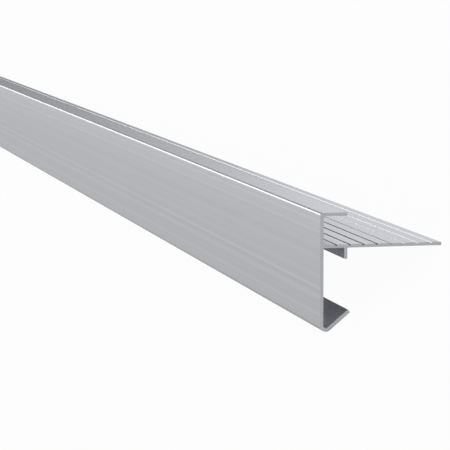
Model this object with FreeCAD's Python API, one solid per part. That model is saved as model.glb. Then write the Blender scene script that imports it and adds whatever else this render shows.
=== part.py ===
import FreeCAD, Part
import math
import os

# Roof edge trim: one extruded aluminium length for the edge of a flat roof.
#
# The section is drawn as it sits on a roof. X runs from the fascia's outer face in over the roof,
# Z runs up, and zero is the top front corner. Sizes are millimetres and angles are degrees.
# The finished length is then turned about its own axis to the way it lies on a level floor,
# on the rounded foot of the fascia and on the lower edge of the roof flange.

# Length of one stock bar
STOCK_LENGTH = 2500.0

# Fascia: the upright face that covers the roof's edge
FASCIA_HEIGHT = 45.0
FASCIA_WALL = 1.4
NOSE_RADIUS = 1.2

# Lip: the short ledge at the top that holds the roofing sheet down
LIP_REACH = 10.5
LIP_WALL = 1.2
LIP_FILLET = 1.0

# Roof flange: the long leg that is screwed to the roof deck
FLANGE_REACH = 47.5
FLANGE_WALL = 1.2
FLANGE_DEPTH = 12.1
FLANGE_FILLET = 0.4

# Grooves: shallow tapered slots along the top of the flange, as drill guides and as a key for bonding
GROOVE_FIRST = 6.3
GROOVE_PITCH = 5.3
GROOVE_WIDTH = 0.9
GROOVE_FLOOR = 0.45
GROOVE_DEPTH = 0.45
GROOVE_END_MARGIN = 3.0

# Web: the short rib under the flange that stops against the deck's edge
WEB_SETBACK = 9.4
WEB_WALL = 1.25
WEB_DROP = 4.2
WEB_FILLET = 0.3

# Return: the foot of the fascia, bent in and up, which drips water clear and stiffens the edge
RETURN_ANGLE = 40.0
RETURN_REACH = 11.85
FOOT_RADIUS = 2.4

# Rounding that the die leaves on every free edge
EDGE_RADIUS = 0.2


def turned_in(wall_offset):
    """Corner where the fascia's line and the return's line cross, that far inside the outer skin."""
    slope = math.radians(RETURN_ANGLE)
    centre_z = FOOT_RADIUS - FASCIA_HEIGHT
    radius = FOOT_RADIUS - wall_offset
    drop = radius * (1 + math.sin(slope)) / math.cos(slope)
    return wall_offset, centre_z - drop


def return_tip():
    """Outer and inner corner of the return's square-cut end."""
    slope = math.radians(RETURN_ANGLE)
    _, start_z = turned_in(0.0)
    outer_x = RETURN_REACH
    outer_z = start_z + RETURN_REACH * math.tan(slope)
    inner_x = outer_x - FASCIA_WALL * math.sin(slope)
    inner_z = outer_z + FASCIA_WALL * math.cos(slope)
    return (outer_x, outer_z), (inner_x, inner_z)


def groove_places():
    """Distance of each groove's middle from the fascia's outer face, as many as the flange holds."""
    last = FLANGE_REACH - GROOVE_END_MARGIN
    count = int((last - GROOVE_FIRST) / GROOVE_PITCH) + 1
    return [GROOVE_FIRST + number * GROOVE_PITCH for number in range(count)]


def fascia_corners():
    """Outer skin from the nose down, round the foot and along the return to its end."""
    outer_tip, inner_tip = return_tip()
    foot = turned_in(0.0)
    inner_foot = turned_in(FASCIA_WALL)
    return [
        (0.0, 0.0, NOSE_RADIUS),
        (foot[0], foot[1], FOOT_RADIUS),
        (outer_tip[0], outer_tip[1], EDGE_RADIUS),
        (inner_tip[0], inner_tip[1], EDGE_RADIUS),
        (inner_foot[0], inner_foot[1], FOOT_RADIUS - FASCIA_WALL),
    ]


def underside_corners():
    """Underside of the roof flange from the fascia out to its tip, with the web on the way."""
    under_z = -FLANGE_DEPTH - FLANGE_WALL
    web_end_z = under_z - WEB_DROP
    web_back = WEB_SETBACK + WEB_WALL
    return [
        (FASCIA_WALL, under_z, FLANGE_FILLET),
        (WEB_SETBACK, under_z, WEB_FILLET),
        (WEB_SETBACK, web_end_z, EDGE_RADIUS),
        (web_back, web_end_z, EDGE_RADIUS),
        (web_back, under_z, WEB_FILLET),
        (FLANGE_REACH, under_z, EDGE_RADIUS),
    ]


def grooved_top_corners():
    """Top of the roof flange from its tip back to the fascia, dipping into each groove."""
    floor_z = -FLANGE_DEPTH - GROOVE_DEPTH
    corners = [(FLANGE_REACH, -FLANGE_DEPTH, EDGE_RADIUS)]
    for middle in reversed(groove_places()):
        corners.append((middle + GROOVE_WIDTH / 2, -FLANGE_DEPTH, 0.0))
        corners.append((middle + GROOVE_FLOOR / 2, floor_z, 0.0))
        corners.append((middle - GROOVE_FLOOR / 2, floor_z, 0.0))
        corners.append((middle - GROOVE_WIDTH / 2, -FLANGE_DEPTH, 0.0))
    corners.append((FASCIA_WALL, -FLANGE_DEPTH, FLANGE_FILLET))
    return corners


def lip_corners():
    """Underside of the lip from the fascia out to its end, and back up to its top."""
    return [
        (FASCIA_WALL, -LIP_WALL, LIP_FILLET),
        (LIP_REACH, -LIP_WALL, EDGE_RADIUS),
        (LIP_REACH, 0.0, EDGE_RADIUS),
    ]


def rounded_outline(corners):
    """Closed wire through the corners, where each radius above zero is a tangent arc."""
    entries = []
    exits = []
    middles = []
    for number, (x, z, radius) in enumerate(corners):
        corner = FreeCAD.Vector(x, 0, z)
        before = corners[number - 1]
        after = corners[(number + 1) % len(corners)]
        back = (FreeCAD.Vector(before[0], 0, before[1]) - corner).normalize()
        ahead = (FreeCAD.Vector(after[0], 0, after[1]) - corner).normalize()
        half_angle = back.getAngle(ahead) / 2
        setback = radius / math.tan(half_angle)
        inward = (back + ahead).normalize()
        to_arc = radius / math.sin(half_angle) - radius
        entries.append(corner + back * setback)
        exits.append(corner + ahead * setback)
        middles.append(corner + inward * to_arc)
    edges = []
    for number, (x, z, radius) in enumerate(corners):
        if radius > 0:
            edges.append(Part.Arc(entries[number], middles[number], exits[number]).toShape())
        following = entries[(number + 1) % len(corners)]
        edges.append(Part.LineSegment(exits[number], following).toShape())
    return Part.Wire(edges)


def resting_turn():
    """Angle that brings the foot's arc and the flange tip's lower edge down onto one level floor."""
    under_z = -FLANGE_DEPTH - FLANGE_WALL
    run = (FLANGE_REACH - EDGE_RADIUS) - FOOT_RADIUS
    rise = (under_z + EDGE_RADIUS) - (FOOT_RADIUS - FASCIA_HEIGHT)
    between_centres = math.hypot(run, rise)
    floor_slope = math.asin((FOOT_RADIUS - EDGE_RADIUS) / between_centres)
    return math.degrees(math.atan2(rise, run) + floor_slope)


def trim_bar():
    """The bar as drawn, with its length centred on the section's plane."""
    corners = fascia_corners() + underside_corners() + grooved_top_corners() + lip_corners()
    face = Part.Face(rounded_outline(corners))
    bar = face.extrude(FreeCAD.Vector(0, STOCK_LENGTH, 0))
    bar.translate(FreeCAD.Vector(0, -STOCK_LENGTH / 2, 0))
    return bar


def laid_down(bar):
    """The bar turned to rest, standing on Z = 0 with its footprint centred on the origin."""
    foot_centre = FreeCAD.Vector(FOOT_RADIUS, 0, FOOT_RADIUS - FASCIA_HEIGHT)
    bar.rotate(foot_centre, FreeCAD.Vector(0, 1, 0), resting_turn())
    box = bar.optimalBoundingBox(False)
    bar.translate(FreeCAD.Vector(-box.Center.x, 0, -box.ZMin))
    return bar


os.makedirs("parts", exist_ok=True)
roof_edge_trim = laid_down(trim_bar())
roof_edge_trim.exportStep("parts/roof_edge_trim.step")
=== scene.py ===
# %% [markdown]
# A roof edge trim, laid on a floor
#
# The object is one bar of extruded aluminium: the edging that finishes a flat roof. Its cross-section is
# the same from end to end, so everything that a viewer reads is in that section, in the skin that the
# extrusion die leaves on it, and in the two sawn ends.
#
# The frame holds the bar at its real size, lying on the floor. This lesson draws the same section again
# with finer rounding, dresses it, and looks at it from the photograph's place.

import bpy
import numpy as np
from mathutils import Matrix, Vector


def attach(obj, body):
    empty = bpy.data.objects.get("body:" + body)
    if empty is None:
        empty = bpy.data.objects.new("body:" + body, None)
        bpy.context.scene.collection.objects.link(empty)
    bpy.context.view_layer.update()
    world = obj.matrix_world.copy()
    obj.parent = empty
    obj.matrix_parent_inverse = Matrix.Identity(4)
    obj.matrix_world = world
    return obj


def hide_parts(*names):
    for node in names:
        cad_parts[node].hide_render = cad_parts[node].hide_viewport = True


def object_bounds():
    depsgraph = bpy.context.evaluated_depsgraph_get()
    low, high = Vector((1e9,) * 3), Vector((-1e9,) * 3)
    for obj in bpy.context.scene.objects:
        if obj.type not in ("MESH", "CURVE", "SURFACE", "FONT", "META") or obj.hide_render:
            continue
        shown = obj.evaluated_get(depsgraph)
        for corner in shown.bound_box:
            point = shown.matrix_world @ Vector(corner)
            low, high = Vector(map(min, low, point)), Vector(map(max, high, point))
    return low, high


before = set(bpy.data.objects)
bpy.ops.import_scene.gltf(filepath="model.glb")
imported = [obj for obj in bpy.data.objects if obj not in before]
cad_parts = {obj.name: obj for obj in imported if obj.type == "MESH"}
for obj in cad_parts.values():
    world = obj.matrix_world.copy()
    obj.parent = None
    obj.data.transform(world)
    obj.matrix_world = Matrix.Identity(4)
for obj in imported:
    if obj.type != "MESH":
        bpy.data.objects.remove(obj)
cad_box = [list(corner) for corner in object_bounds()]
MM = 0.001
print("nodes in the frame:", sorted(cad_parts), " box in metres:", cad_box)

# %% [markdown]
# The section
#
# An extruded section is a closed line that turns at a few corners. It could be cut from boxes or drawn by
# hand, but a list of corners keeps every size in one place. Each corner has a place and a radius, and the
# straight runs between them are implied. Sixteen of the corners are the form itself, and each groove along
# the top of the flange adds four. Sizes are in millimetres: X runs in over the roof from the fascia's
# outer face, and Z runs up from the top front corner.

# %% Driving sizes of the section
FASCIA_HEIGHT, FASCIA_WALL, NOSE_RADIUS = 45.0, 1.4, 1.2
LIP_REACH, LIP_WALL, LIP_FILLET = 10.5, 1.2, 1.0
FLANGE_REACH, FLANGE_WALL, FLANGE_DEPTH, FLANGE_FILLET = 47.5, 1.2, 12.1, 0.4
GROOVE_FIRST, GROOVE_PITCH, GROOVE_COUNT = 6.3, 5.3, 8
GROOVE_WIDTH, GROOVE_FLOOR, GROOVE_DEPTH = 0.9, 0.45, 0.45
WEB_SETBACK, WEB_WALL, WEB_DROP, WEB_FILLET = 9.4, 1.25, 4.2, 0.3
RETURN_SLOPE, RETURN_REACH, FOOT_RADIUS = np.radians(40.0), 11.85, 2.4
EDGE_RADIUS = 0.2

FLANGE_UNDER = -FLANGE_DEPTH - FLANGE_WALL
FOOT_CENTRE = np.array([FOOT_RADIUS, FOOT_RADIUS - FASCIA_HEIGHT])


def foot_corner(inset):
    """Where the fascia's line and the return's line cross, inset millimetres inside the outer skin."""
    radius = FOOT_RADIUS - inset
    drop = radius * (1 + np.sin(RETURN_SLOPE)) / np.cos(RETURN_SLOPE)
    return inset, FOOT_CENTRE[1] - drop


def section_corners():
    """Every corner as a row of x, z and radius, with the metal on the left of the way round."""
    tip_x = RETURN_REACH
    tip_z = foot_corner(0)[1] + RETURN_REACH * np.tan(RETURN_SLOPE)
    inner_x = tip_x - FASCIA_WALL * np.sin(RETURN_SLOPE)
    inner_z = tip_z + FASCIA_WALL * np.cos(RETURN_SLOPE)
    web_back, web_end = WEB_SETBACK + WEB_WALL, FLANGE_UNDER - WEB_DROP
    before_grooves = [
        (0, 0, NOSE_RADIUS),
        (*foot_corner(0), FOOT_RADIUS),
        (tip_x, tip_z, EDGE_RADIUS),
        (inner_x, inner_z, EDGE_RADIUS),
        (*foot_corner(FASCIA_WALL), FOOT_RADIUS - FASCIA_WALL),
        (FASCIA_WALL, FLANGE_UNDER, FLANGE_FILLET),
        (WEB_SETBACK, FLANGE_UNDER, WEB_FILLET),
        (WEB_SETBACK, web_end, EDGE_RADIUS),
        (web_back, web_end, EDGE_RADIUS),
        (web_back, FLANGE_UNDER, WEB_FILLET),
        (FLANGE_REACH, FLANGE_UNDER, EDGE_RADIUS),
        (FLANGE_REACH, -FLANGE_DEPTH, EDGE_RADIUS),
    ]
    middles = GROOVE_FIRST + GROOVE_PITCH * np.arange(GROOVE_COUNT)[::-1]
    from_middle = np.array([GROOVE_WIDTH, GROOVE_FLOOR, -GROOVE_FLOOR, -GROOVE_WIDTH]) / 2
    groove_x = (middles[:, None] + from_middle).ravel()
    groove_z = np.tile(GROOVE_DEPTH * np.array([0, -1, -1, 0]) - FLANGE_DEPTH, GROOVE_COUNT)
    grooves = np.column_stack([groove_x, groove_z, np.zeros_like(groove_x)])
    after_grooves = [
        (FASCIA_WALL, -FLANGE_DEPTH, FLANGE_FILLET),
        (FASCIA_WALL, -LIP_WALL, LIP_FILLET),
        (LIP_REACH, -LIP_WALL, EDGE_RADIUS),
        (LIP_REACH, 0, EDGE_RADIUS),
    ]
    return np.vstack([before_grooves, grooves, after_grooves])


corners = section_corners()
print("section corners:", len(corners))

# %% [markdown]
# From corners to a smooth outline
#
# The die rounds the corners of the form, and the grooves are too small for that to show. A Bevel modifier
# could round the corners too, but an outer corner and an inner fillet follow one rule: slide along the
# bisector to the arc's centre, then swing a radius from the normal of the run that arrives to the normal of
# the run that leaves. The sign of the turn says on which side the centre lies. Keeping the normals as well
# as the points is what makes the flats shade flat and the arcs shade round.

# %% Outline points and their normals
ARC_STEPS = 10


def turned(vectors, angles):
    """Rotate two-dimensional vectors by angles: x cos - z sin, x sin + z cos."""
    cosine, sine = np.cos(angles), np.sin(angles)
    x, z = vectors[..., 0], vectors[..., 1]
    return np.stack([x * cosine - z * sine, x * sine + z * cosine], -1)


def smooth_outline(rows, steps):
    """Points and outward normals round the section.

    With n0 and n1 the outward normals of the runs into and out of a corner, r its radius and k = +1 for an
    outer corner or -1 for a fillet, the arc's centre is corner - k r (n0 + n1) / (1 + n0 . n1). Its points
    are centre + k r n(t), where n(t) turns evenly from n0 to n1. A corner of radius zero gives one point.
    """
    place, radius = rows[:, :2], rows[:, 2]
    run = np.roll(place, -1, axis=0) - place
    run /= np.linalg.norm(run, axis=1)[:, None]
    leaving = np.column_stack([run[:, 1], -run[:, 0]])
    arriving = np.roll(leaving, 1, axis=0)
    dot = (arriving * leaving).sum(1)
    cross = arriving[:, 0] * leaving[:, 1] - arriving[:, 1] * leaving[:, 0]
    turn, side = np.arctan2(cross, dot), np.sign(cross)
    centre = place - (side * radius / (1 + dot))[:, None] * (arriving + leaving)
    counts = np.where(radius > 0, steps + 1, 1)
    which = np.repeat(np.arange(len(rows)), counts)
    first = np.cumsum(counts) - counts
    share = (np.arange(counts.sum()) - first[which]) / np.maximum(counts - 1, 1)[which]
    normal = turned(arriving[which], share * turn[which])
    points = centre[which] + (side * radius)[which][:, None] * normal
    on_arc = np.roll(which, -1) == which
    starts = np.where(on_arc[:, None], normal, leaving[which])
    ends = np.where(on_arc[:, None], np.roll(normal, -1, axis=0), leaving[which])
    return points, starts, ends


outline, normal_start, normal_end = smooth_outline(corners, ARC_STEPS)
run_length = np.linalg.norm(np.roll(outline, -1, axis=0) - outline, axis=1)
print("outline points:", len(outline), " girth in mm:", round(run_length.sum(), 1))

# %% [markdown]
# How the bar lies
#
# On a roof the fascia is upright, but a loose bar would fall over from there. It comes to rest on two
# lines: the round foot and the lower edge of the flange's tip. The bar could be turned until it looks
# right, but both lines are circles in the section. So the floor is the common tangent of two circles, and
# the turn follows exactly from their centres and radii.

# %% The resting turn, and from section to frame
tip_centre = np.array([FLANGE_REACH - EDGE_RADIUS, FLANGE_UNDER + EDGE_RADIUS])
between = tip_centre - FOOT_CENTRE
REST_TURN = np.arctan2(between[1], between[0]) + np.arcsin((FOOT_RADIUS - EDGE_RADIUS) / np.hypot(*between))
BAR_LENGTH = (cad_box[1][1] - cad_box[0][1]) / MM
FOOT_IN_FRAME = np.array([cad_box[0][0] / MM + FOOT_RADIUS, cad_box[0][2] / MM + FOOT_RADIUS])


def to_frame(section_points, along):
    """Section millimetres (x, z), and millimetres along the bar from its middle, to metres in the frame."""
    flat = turned(np.asarray(section_points, float) - FOOT_CENTRE, -REST_TURN) + FOOT_IN_FRAME
    along = np.broadcast_to(np.asarray(along, float), flat.shape[:-1])
    return np.stack([flat[..., 0], along, flat[..., 1]], -1) * MM


def direction_to_frame(directions):
    """Section directions (x, along, z) turned the way the bar lies, as unit vectors."""
    drawn = np.asarray(directions, float)
    flat = turned(drawn[..., [0, 2]], -REST_TURN)
    lying = np.stack([flat[..., 0], drawn[..., 1], flat[..., 1]], -1)
    return lying / np.linalg.norm(lying, axis=-1, keepdims=True)


print("resting turn in degrees:", round(float(np.degrees(REST_TURN)), 2))
print("length in mm:", round(BAR_LENGTH, 1))

# %% [markdown]
# Carrying the section along the bar
#
# The skin is a grid: the outline runs one way and stations along the bar run the other. A curve with a
# profile would give the same form, but a grid keeps the normals and the map in hand. A saw leaves a crisp
# edge that is broken by a stroke of a file, so the last ring at each end is drawn in by a twentieth of a
# millimetre. The drawn-in ring needs the mitre at each point, which is the sum of the two normals there,
# divided so that both neighbouring faces move by the same amount.

# %% Stations and rings
EDGE_BREAK = 0.05
STATION_STEP = 25.0


def mitres():
    """Vectors that move every face of the outline out by one millimetre: (n0 + n1) / (1 + n0 . n1)."""
    before = np.roll(normal_end, 1, axis=0)
    dot = (before * normal_start).sum(1)
    return (before + normal_start) / (1 + dot)[:, None]


half = BAR_LENGTH / 2
body_stations = np.linspace(-half + EDGE_BREAK, half - EDGE_BREAK, int(BAR_LENGTH / STATION_STEP) + 1)
stations = np.concatenate([[-half], body_stations, [half]])
inset = np.zeros_like(stations)
inset[[0, -1]] = EDGE_BREAK
rings = outline[None] - inset[:, None, None] * mitres()[None]
vertices = to_frame(rings, stations[:, None])
print("rings:", len(stations), " vertices:", vertices.shape[0] * vertices.shape[1])

# %% [markdown]
# Faces, normals and a map
#
# Quads join each ring to the next, and one many-sided face closes each end. The mesh could be left to
# smooth its own normals, but averaging would bend the light across the wide flats next to the small arcs,
# so they are written out face corner by face corner. The map is in metres: across is the distance round
# the outline, and along is the distance down the bar, so a pattern keeps its real scale and follows the
# metal round every corner. Each face also takes one of three materials: the drawn skin, the sawn ends, or
# the inner face of the return, which is the flat that follows the fourth rounded corner.

# %% Build the bar's mesh
ring_count, point_count = rings.shape[:2]
MILL_SKIN, SAWN_FACE, INSIDE_SKIN = 0, 1, 2
RETURN_INNER_FACE = 4 * (ARC_STEPS + 1) - 1


def skin_quads():
    """Corner indices of every quad, so wound that its face looks outwards.

    The corners are (ring, point), (next ring, point), (next ring, next point) and (ring, next point).
    """
    ring = np.arange(ring_count - 1)[:, None] * point_count
    here = np.arange(point_count)[None, :]
    following = (here + 1) % point_count
    ahead = ring + point_count
    return np.stack([ring + here, ahead + here, ahead + following, ring + following], -1)


def skin_normals():
    """One normal for each quad corner: the outline's own, tipped to 45 degrees on the broken edges."""
    lean = np.zeros(ring_count - 1)
    lean[0], lean[-1] = -1, 1

    def spread(flat_normals):
        rows = np.stack([flat_normals[:, 0], np.zeros(point_count), flat_normals[:, 1]], -1)
        grid = np.repeat(rows[None], ring_count - 1, axis=0)
        grid[..., 1] = lean[:, None]
        return direction_to_frame(grid)

    at_start, at_end = spread(normal_start), spread(normal_end)
    return np.stack([at_start, at_start, at_end, at_end], 2)


def skin_map():
    """Across is the distance round the outline and along is the distance down the bar, in metres."""
    across_end = np.cumsum(run_length) * MM
    across_start = across_end - run_length * MM
    near, far = stations[:-1, None] * MM, stations[1:, None] * MM
    quad_corners = [(across_start, near), (across_start, far), (across_end, far), (across_end, near)]
    return np.stack([np.stack(np.broadcast_arrays(*pair), -1) for pair in quad_corners], 2)


def build_bar():
    """Mesh of the quads and of two end faces, with normals and the metre map on every face corner."""
    quads = skin_quads().reshape(-1, 4)
    front = np.arange(point_count)
    back = np.arange(point_count)[::-1] + (ring_count - 1) * point_count
    loops = np.concatenate([quads.ravel(), front, back])
    sizes = np.concatenate([np.full(len(quads), 4), [point_count, point_count]])
    ends = [np.tile([0.0, -1.0, 0.0], (point_count, 1)), np.tile([0.0, 1.0, 0.0], (point_count, 1))]
    normals = np.concatenate([skin_normals().reshape(-1, 3), *ends])
    end_map = outline * MM
    across_along = np.concatenate([skin_map().reshape(-1, 2), end_map, end_map[::-1]])
    skin_material = np.full((ring_count - 1, point_count), MILL_SKIN)
    skin_material[:, RETURN_INNER_FACE] = INSIDE_SKIN
    skin_material[[0, -1]] = SAWN_FACE

    mesh = bpy.data.meshes.new("edge_trim_bar")
    mesh.vertices.add(ring_count * point_count)
    mesh.vertices.foreach_set("co", vertices.ravel())
    mesh.loops.add(len(loops))
    mesh.loops.foreach_set("vertex_index", loops)
    mesh.polygons.add(len(sizes))
    mesh.polygons.foreach_set("loop_start", np.cumsum(sizes) - sizes)
    mesh.polygons.foreach_set("material_index", np.append(skin_material.ravel(), [SAWN_FACE, SAWN_FACE]))
    mesh.update(calc_edges=True)
    mesh.uv_layers.new(name="metres")
    mesh.uv_layers["metres"].data.foreach_set("uv", across_along.ravel())
    mesh.normals_split_custom_set(normals)
    print("mesh is sound:", not mesh.validate(verbose=False), " faces:", len(mesh.polygons))
    return mesh


bar = bpy.data.objects.new("edge_trim_bar", build_bar())
bpy.context.scene.collection.objects.link(bar)
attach(bar, "root")
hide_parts("roof_edge_trim")

# %% [markdown]
# Mill finish
#
# Metal pushed through a die keeps fine lines along its length, where small pickups on the die have scored
# it. They are about a millimetre wide and run on for metres, over broader and fainter bands. A picture of
# brushed metal would repeat itself on so long a bar. Two stretched noises on the metre map give both kinds
# and never repeat. They move the colour and the roughness by a little, and a shallow bump lets the lines
# catch the light. The helpers below build one step of such a material each.

# %% Node helpers
# Most of a noise's values lie between these two.
NOISE_LOW, NOISE_HIGH = 0.3, 0.7
NOISE_ROUGHNESS = 0.6
RELIEF_DEPTH, RELIEF_STRENGTH = 0.02, 0.3


def new_material(name):
    """A node material with its node list, its link list and its Principled shader."""
    material = bpy.data.materials.new(name)
    material.use_nodes = True
    shader = material.node_tree.nodes["Principled BSDF"]
    return material, material.node_tree.nodes, material.node_tree.links, shader


def metre_map(nodes):
    """Vector socket of the metre map."""
    coordinates = nodes.new("ShaderNodeUVMap")
    coordinates.uv_map = "metres"
    return coordinates.outputs["UV"]


def streaks(nodes, links, across_mm, along_mm, detail, seed):
    """Value socket of a noise on the metre map, with features across_mm wide and along_mm long."""
    stretch = nodes.new("ShaderNodeMapping")
    stretch.inputs["Scale"].default_value = (1 / (across_mm * MM), 1 / (along_mm * MM), 1)
    stretch.inputs["Location"].default_value = (seed, seed, seed)
    noise = nodes.new("ShaderNodeTexNoise")
    noise.inputs["Scale"].default_value = 1.0
    noise.inputs["Detail"].default_value = detail
    noise.inputs["Roughness"].default_value = NOISE_ROUGHNESS
    links.new(metre_map(nodes), stretch.inputs["Vector"])
    links.new(stretch.outputs["Vector"], noise.inputs["Vector"])
    return noise.outputs["Fac"]


def blend_of(nodes, links, first, second, share):
    """The two values mixed, with share of the second."""
    mix = nodes.new("ShaderNodeMix")
    mix.inputs["Factor"].default_value = share
    links.new(first, mix.inputs["A"])
    links.new(second, mix.inputs["B"])
    return mix.outputs["Result"]


def combined(nodes, links, operation, first, second):
    """Value socket of an operation on a socket and on another socket or a plain number."""
    node = nodes.new("ShaderNodeMath")
    node.operation = operation
    links.new(first, node.inputs[0])
    if isinstance(second, float):
        node.inputs[1].default_value = second
    else:
        links.new(second, node.inputs[1])
    return node.outputs[0]


def to_range(nodes, links, value, low, high, floor=NOISE_LOW, ceiling=NOISE_HIGH):
    """The value carried from floor..ceiling to low..high, and held at those ends."""
    span = nodes.new("ShaderNodeMapRange")
    span.inputs["From Min"].default_value = floor
    span.inputs["From Max"].default_value = ceiling
    span.inputs["To Min"].default_value = low
    span.inputs["To Max"].default_value = high
    links.new(value, span.inputs["Value"])
    return span.outputs["Result"]


def colour_between(nodes, links, value, dark, light):
    """A ramp from one colour to another."""
    ramp = nodes.new("ShaderNodeValToRGB")
    dark_stop, light_stop = ramp.color_ramp.elements
    dark_stop.position, light_stop.position = NOISE_LOW, NOISE_HIGH
    dark_stop.color, light_stop.color = (*dark, 1), (*light, 1)
    links.new(value, ramp.inputs["Fac"])
    return ramp.outputs["Color"]


def add_relief(nodes, links, shader, height):
    """Shallow bump of a value on the shader."""
    bump = nodes.new("ShaderNodeBump")
    bump.inputs["Strength"].default_value = RELIEF_STRENGTH
    bump.inputs["Distance"].default_value = RELIEF_DEPTH * MM
    links.new(height, bump.inputs["Height"])
    links.new(bump.outputs["Normal"], shader.inputs["Normal"])


# %% [markdown]
# Painted light and shade, and lines down the fascia
#
# A few lines stand out on the fascia, each at its own depth below the top edge. Between them the colour
# holds
# painted light and shade: a painted sheen makes the fascia lighter from the nose down its upper part, the
# tone falls slowly from there to the foot as painted shade, and the rim of the foot is darker with a
# painted contact shade. Noise can't be told where to draw a line, and a painted picture would be hard to
# change. So one ramp over the distance round the outline holds them all. The tones are given at depths, and
# the last one holds for the rest of the outline. Round the foot a depth is the distance on round the bend.
# The lines are given by depth, width and strength. A ramp takes 32 stops at most, so only the strongest
# lines are drawn this way. Its colours stop at 1, so it keeps half the tone, and a multiplication doubles
# it again.

# %% Painted light and shade, and lines
# Painted light: a painted sheen from the nose down the upper fascia, painted shade falling to the foot, and
# a painted contact shade on the rim of the foot.
UPPER_PAINTED_SHEEN = [(0.0, 0.98), (1.2, 1.17), (5.3, 1.06), (11.2, 1.075), (13.0, 1.0), (20.5, 1.0)]
LOWER_PAINTED_SHADE = [(27.0, 0.95), (42.9, 0.92), (43.7, 0.45), (47.5, 0.45), (48.0, 0.93)]
UPPER_LINES = [(3.2, 1.4, 0.11), (7.1, 2.4, 0.12), (16.9, 3.2, 0.07)]
LOWER_LINES = [(24.0, 1.6, 0.07), (28.5, 1.7, 0.19), (32.3, 3.2, 0.09), (38.4, 1.7, 0.10)]
RAMP_SHARE = 0.5
# The ramp covers this much of the outline, from where the nose's arc starts.
TONE_SPAN = 50.0
NOSE_ARC = NOSE_RADIUS * np.pi / 2


def fascia_stops():
    """Place of each stop as a share of the span round the outline, and the ramp's share of the tone there.

    A line adds three stops: the tone at its two edges, and the tone plus its strength in the middle.
    """
    depths, tones = np.array(UPPER_PAINTED_SHEEN + LOWER_PAINTED_SHADE).T
    rows = list(zip(depths, tones))
    for depth, width, strength in UPPER_LINES + LOWER_LINES:
        for step, peak in ((-width / 2, 0), (0, strength), (width / 2, 0)):
            rows.append((depth + step, np.interp(depth + step, depths, tones) + peak))
    rows = np.array(sorted(rows))
    return (rows[:, 0] - NOSE_RADIUS + NOSE_ARC) / TONE_SPAN, rows[:, 1] * RAMP_SHARE


def fascia_painted_light_and_lines(nodes, links):
    """Value socket of the painted sheen and shade and the lines, from the metre map's distance round the
    outline.
    """
    parts = nodes.new("ShaderNodeSeparateXYZ")
    links.new(metre_map(nodes), parts.inputs["Vector"])
    share = to_range(nodes, links, parts.outputs["X"], 0.0, 1.0, floor=0.0, ceiling=TONE_SPAN * MM)
    ramp = nodes.new("ShaderNodeValToRGB")
    stops = ramp.color_ramp.elements
    places, kept_tones = fascia_stops()
    stops[0].position, stops[1].position = places[0], places[-1]
    for place in places[1:-1]:
        stops.new(place)
    for stop, tone in zip(stops, kept_tones):
        stop.color = (tone, tone, tone, 1)
    links.new(share, ramp.inputs["Fac"])
    return combined(nodes, links, "MULTIPLY", ramp.outputs["Color"], 1 / RAMP_SHARE)


print("stops down the fascia:", len(fascia_stops()[0]))

# %% [markdown]
# The drawn skin
#
# One material could serve the whole skin, and nearly does. The return's inner face looks at the back of
# the fascia, and light loses strength at every bounce between them. There the plain metal came out too
# dark, so that one face takes the same material in a lighter, even tone.

# %% The die-drawn skin
MILL_DARK = (0.374, 0.379, 0.406)
MILL_LIGHT = (0.452, 0.459, 0.491)
MILL_ROUGHNESS = (0.32, 0.36)
LINES_SHARE = 0.6
INSIDE_TONE = 1.9


def mill_aluminium(name, even_tone=None):
    """Aluminium with broad faint bands and fine score lines along the bar.

    Its colour is scaled by the painted light and shade and the lines down the fascia, or by one even tone
    where that is given.
    """
    material, nodes, links, shader = new_material(name)
    bands = streaks(nodes, links, across_mm=4.0, along_mm=6000, detail=3, seed=2.0)
    lines = streaks(nodes, links, across_mm=0.9, along_mm=3000, detail=2, seed=7.0)
    grain = blend_of(nodes, links, bands, lines, LINES_SHARE)
    scaled = nodes.new("ShaderNodeVectorMath")
    scaled.operation = "SCALE"
    links.new(colour_between(nodes, links, grain, MILL_DARK, MILL_LIGHT), scaled.inputs[0])
    # The fascia's painted sheen and shade, and its lines, scale the colour, unless one even tone is given.
    if even_tone is None:
        links.new(fascia_painted_light_and_lines(nodes, links), scaled.inputs["Scale"])
    else:
        scaled.inputs["Scale"].default_value = even_tone
    links.new(scaled.outputs["Vector"], shader.inputs["Base Color"])
    links.new(to_range(nodes, links, grain, *MILL_ROUGHNESS), shader.inputs["Roughness"])
    add_relief(nodes, links, shader, lines)
    shader.inputs["Metallic"].default_value = 1.0
    return material


bar.data.materials.append(mill_aluminium("mill_aluminium"))

# %% [markdown]
# Sawn ends
#
# A circular saw leaves shallow arcs across the cut, close together, and a duller face than the drawn skin.
# Real furrows would need a very fine mesh for marks that hardly show, so a wave texture gives them their
# colour and relief. The arcs are rings 0.8 mm apart about the blade's centre, which lies one blade's radius
# below the top edge.

# %% The cut faces
SAWN_DARK = (0.482, 0.488, 0.512)
SAWN_LIGHT = (0.558, 0.566, 0.593)
SAWN_ROUGHNESS = 0.5
BLADE_RADIUS = 175.0
TOOTH_SCALE, TOOTH_WANDER = 400.0, 1.5


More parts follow.
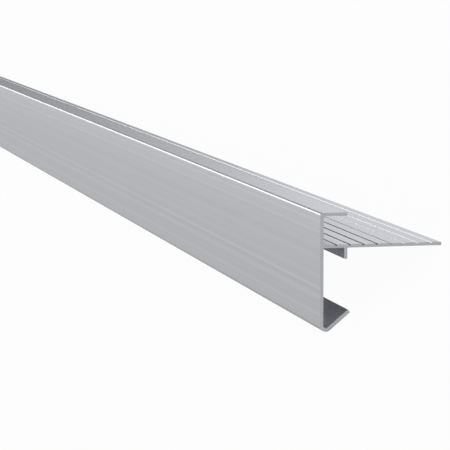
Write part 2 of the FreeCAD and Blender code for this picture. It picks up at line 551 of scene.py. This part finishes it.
def sawn_aluminium():
    """Rings of the blade's teeth on a dull cut face."""
    material, nodes, links, shader = new_material("sawn_aluminium")
    about_blade = nodes.new("ShaderNodeMapping")
    about_blade.inputs["Location"].default_value = (0, BLADE_RADIUS * MM, 0)
    rings_of_teeth = nodes.new("ShaderNodeTexWave")
    rings_of_teeth.wave_type = "RINGS"
    rings_of_teeth.rings_direction = "Z"
    rings_of_teeth.inputs["Scale"].default_value = TOOTH_SCALE
    rings_of_teeth.inputs["Distortion"].default_value = TOOTH_WANDER
    links.new(metre_map(nodes), about_blade.inputs["Vector"])
    links.new(about_blade.outputs["Vector"], rings_of_teeth.inputs["Vector"])
    teeth = rings_of_teeth.outputs["Fac"]
    links.new(colour_between(nodes, links, teeth, SAWN_DARK, SAWN_LIGHT), shader.inputs["Base Color"])
    add_relief(nodes, links, shader, teeth)
    shader.inputs["Metallic"].default_value = 1.0
    shader.inputs["Roughness"].default_value = SAWN_ROUGHNESS
    return material


bar.data.materials.append(sawn_aluminium())
bar.data.materials.append(mill_aluminium("mill_inside", INSIDE_TONE))
print("materials on the bar:", [material.name for material in bar.data.materials])

# %% [markdown]
# Floor
#
# The bar lies on a plain white floor. Strong lamps could burn a floor out to white, but they would burn out
# the metal too. So to the camera and to reflections the floor is nearly all a white of its own, with a
# small share of lit paint that keeps a trace of the shadow. All other light meets plain pale paint. Where
# the bar comes down to the floor, the reflected white fades out over three millimetres, so the underside
# of the foot mirrors a contact shade.

# %% Floor
# The floor's half side is in metres, and the contact shade's reach in millimetres.
FLOOR_HALF = 12.0
FLOOR_PAINT = (0.85, 0.85, 0.85)
CAMERA_WHITE, MIRRORED_WHITE = 0.96, 0.9
CONTACT_REACH, CONTACT_POWER, CONTACT_SAMPLES = 3.0, 3.0, 4


def white_share(nodes, links):
    """The share of white for the kind of ray that looks, and 0 for rays that only carry light.

    Each kind's flag is 0 or 1. The camera's is scaled by its share. Those of reflected and passing rays are
    scaled by theirs and faded near the bar. The larger of the two is kept.
    """
    path = nodes.new("ShaderNodeLightPath").outputs
    near = nodes.new("ShaderNodeAmbientOcclusion")
    near.samples = CONTACT_SAMPLES
    near.inputs["Distance"].default_value = CONTACT_REACH * MM
    contact = combined(nodes, links, "POWER", near.outputs["AO"], CONTACT_POWER)
    seen = combined(nodes, links, "MULTIPLY", path["Is Camera Ray"], CAMERA_WHITE)
    mirrored = combined(nodes, links, "MAXIMUM", path["Is Glossy Ray"], path["Is Transmission Ray"])
    mirrored = combined(nodes, links, "MULTIPLY", mirrored, MIRRORED_WHITE)
    faded = combined(nodes, links, "MULTIPLY", mirrored, contact)
    return combined(nodes, links, "MAXIMUM", seen, faded)


def white_floor():
    """Mostly its own white where it is seen, with a small share of lit pale paint that takes shadows."""
    material = bpy.data.materials.new("white_floor")
    material.use_nodes = True
    nodes, links = material.node_tree.nodes, material.node_tree.links
    nodes.clear()
    paint = nodes.new("ShaderNodeBsdfDiffuse")
    paint.inputs["Color"].default_value = (*FLOOR_PAINT, 1)
    white = nodes.new("ShaderNodeEmission")
    white.inputs["Color"].default_value = (1, 1, 1, 1)
    mix = nodes.new("ShaderNodeMixShader")
    out = nodes.new("ShaderNodeOutputMaterial")
    links.new(white_share(nodes, links), mix.inputs["Fac"])
    links.new(paint.outputs[0], mix.inputs[1])
    links.new(white.outputs[0], mix.inputs[2])
    links.new(mix.outputs[0], out.inputs["Surface"])
    return material


floor_mesh = bpy.data.meshes.new("floor")
floor_corners = np.array([[-1, -1, 0], [1, -1, 0], [1, 1, 0], [-1, 1, 0]]) * FLOOR_HALF
floor_mesh.from_pydata(floor_corners.tolist(), [], [[0, 1, 2, 3]])
floor = bpy.data.objects.new("floor", floor_mesh)
bpy.context.scene.collection.objects.link(floor)
floor.data.materials.append(white_floor())

# %% [markdown]
# A room with a bright side
#
# The fascia mirrors the side that it faces, and the flange mirrors the air above it. Walls of different
# white could stand round the bar, but a sky that depends on the direction does the same with no edges. The
# room is white on the fascia's side and dims towards the flange's side, and only the direction's X
# decides. A smooth step between the two keeps the line of the change out of the reflections. Where the
# camera itself looks past the floor, from low down, it sees plain white on every side, so the horizon
# hardly shows.

# %% World
BRIGHT_SIDE, DIM_SIDE = 1.0, 0.355
BRIGHT_UNTIL, DIM_FROM = -0.47, 0.18


def studio_world():
    """A room that is bright on the fascia's side and dimmer over the flange, and white to the camera."""
    world = bpy.data.worlds.new("studio")
    world.use_nodes = True
    nodes, links = world.node_tree.nodes, world.node_tree.links
    direction = nodes.new("ShaderNodeTexCoord")
    parts = nodes.new("ShaderNodeSeparateXYZ")
    strength = nodes.new("ShaderNodeMapRange")
    strength.interpolation_type = "SMOOTHSTEP"
    strength.inputs["From Min"].default_value = BRIGHT_UNTIL
    strength.inputs["From Max"].default_value = DIM_FROM
    strength.inputs["To Min"].default_value = BRIGHT_SIDE
    strength.inputs["To Max"].default_value = DIM_SIDE
    links.new(direction.outputs["Generated"], parts.inputs["Vector"])
    links.new(parts.outputs["X"], strength.inputs["Value"])
    camera_flag = nodes.new("ShaderNodeLightPath").outputs["Is Camera Ray"]
    background = nodes["Background"]
    background.inputs["Color"].default_value = (1, 1, 1, 1)
    brightness = combined(nodes, links, "MAXIMUM", strength.outputs["Result"], camera_flag)
    links.new(brightness, background.inputs["Strength"])
    bpy.context.scene.world = world


studio_world()

# %% [markdown]
# Lamps
#
# The room alone would light the bar without a highlight. Two broad lamps add to it, because small ones
# would draw hard spots on the metal. The edge lamp stands beyond the bar's far end, outside the fascia and
# above it. Its image runs along the round nose as one bright line, and lights up the grooves near the
# flange's tip. The side lamp stands over the flange and lifts the lip and the flange towards the near
# end. Its light is a little blue. Both are placed round the section and along the bar, so they keep their
# place about the object.

# %% Place the lamps
from mathutils import Matrix, Vector

WHITE, PALE_BLUE = (1.0, 1.0, 1.0), (0.94, 0.965, 1.0)


def aim(origin, target):
    """Matrix of a lamp at origin that looks at target along its own -Z."""
    turn = (Vector(target) - Vector(origin)).to_track_quat("-Z", "Y")
    return Matrix.Translation(Vector(origin)) @ turn.to_matrix().to_4x4()


def soft_lamp(name, section_place, past_near_end, aimed_past_near_end, side_m, watts, colour):
    """Square area lamp at a place given round the section, aimed at the nose somewhere along the bar.

    Both distances along the bar are in millimetres from its near end.
    """
    data = bpy.data.lights.new(name, "AREA")
    data.shape, data.size, data.energy, data.color = "SQUARE", side_m, watts, colour
    lamp = bpy.data.objects.new(name, data)
    bpy.context.scene.collection.objects.link(lamp)
    place = to_frame(np.array(section_place, float), -half + past_near_end)
    target = to_frame(np.array([0.0, 0.0]), -half + aimed_past_near_end)
    lamp.matrix_world = aim(place, target)
    lamp.visible_camera = False
    print(name, "at", [round(float(x), 2) for x in place])


soft_lamp(
    "edge_lamp",
    section_place=(-1430, 1179),
    past_near_end=5706,
    aimed_past_near_end=300,
    side_m=1.65,
    watts=24.6,
    colour=WHITE,
)
soft_lamp(
    "side_lamp",
    section_place=(561, 1006),
    past_near_end=1600,
    aimed_past_near_end=0,
    side_m=1.1,
    watts=4.15,
    colour=PALE_BLUE,
)

# %% [markdown]
# The photograph's view
#
# The camera stands nearly a metre before the near end, a quarter of a metre to the left of the fascia and a
# tenth of a metre above it, with a long lens. A camera placed by eye would never quite fit, so this one was
# worked out from the point where the bar's long lines meet, and from the upright and level edges of its cut
# end. It is given as the photograph has it, against an upright bar, and is then turned with the bar, so the
# picture is the same although the bar lies on its side.

# %% Camera
# The eye is measured from the top front corner of the near end, in millimetres.
EYE_ACROSS, EYE_UP, EYE_BEHIND = -245.9, 101.4, 918.8
PAN, TILT = np.radians(12.836), np.radians(6.356)
LENS, SENSOR = 204.27, 36.0

forward = np.array([np.sin(PAN) * np.cos(TILT), np.cos(PAN) * np.cos(TILT), -np.sin(TILT)])
right = np.array([np.cos(PAN), -np.sin(PAN), 0.0])
up = np.cross(right, forward)
axes = direction_to_frame(np.stack([right, up, -forward]))
camera_data = bpy.data.cameras.new("view")
camera_data.lens, camera_data.sensor_width = LENS, SENSOR
camera = bpy.data.objects.new("view", camera_data)
bpy.context.scene.collection.objects.link(camera)
eye = to_frame(np.array([EYE_ACROSS, EYE_UP]), -half - EYE_BEHIND)
camera.matrix_world = Matrix.Translation(Vector(eye)) @ Matrix(axes.T.tolist()).to_4x4()
bpy.context.scene.camera = camera
print("eye at", [round(float(x), 3) for x in eye])

# %% [markdown]
# Finish
#
# The picture could be toned like film, but that would grey the white floor, so the plain Standard view
# shows each colour as it is lit. The dressed bar has to be as large as the bar in the frame.

# %% Finish
bpy.context.scene.view_settings.view_transform = "Standard"
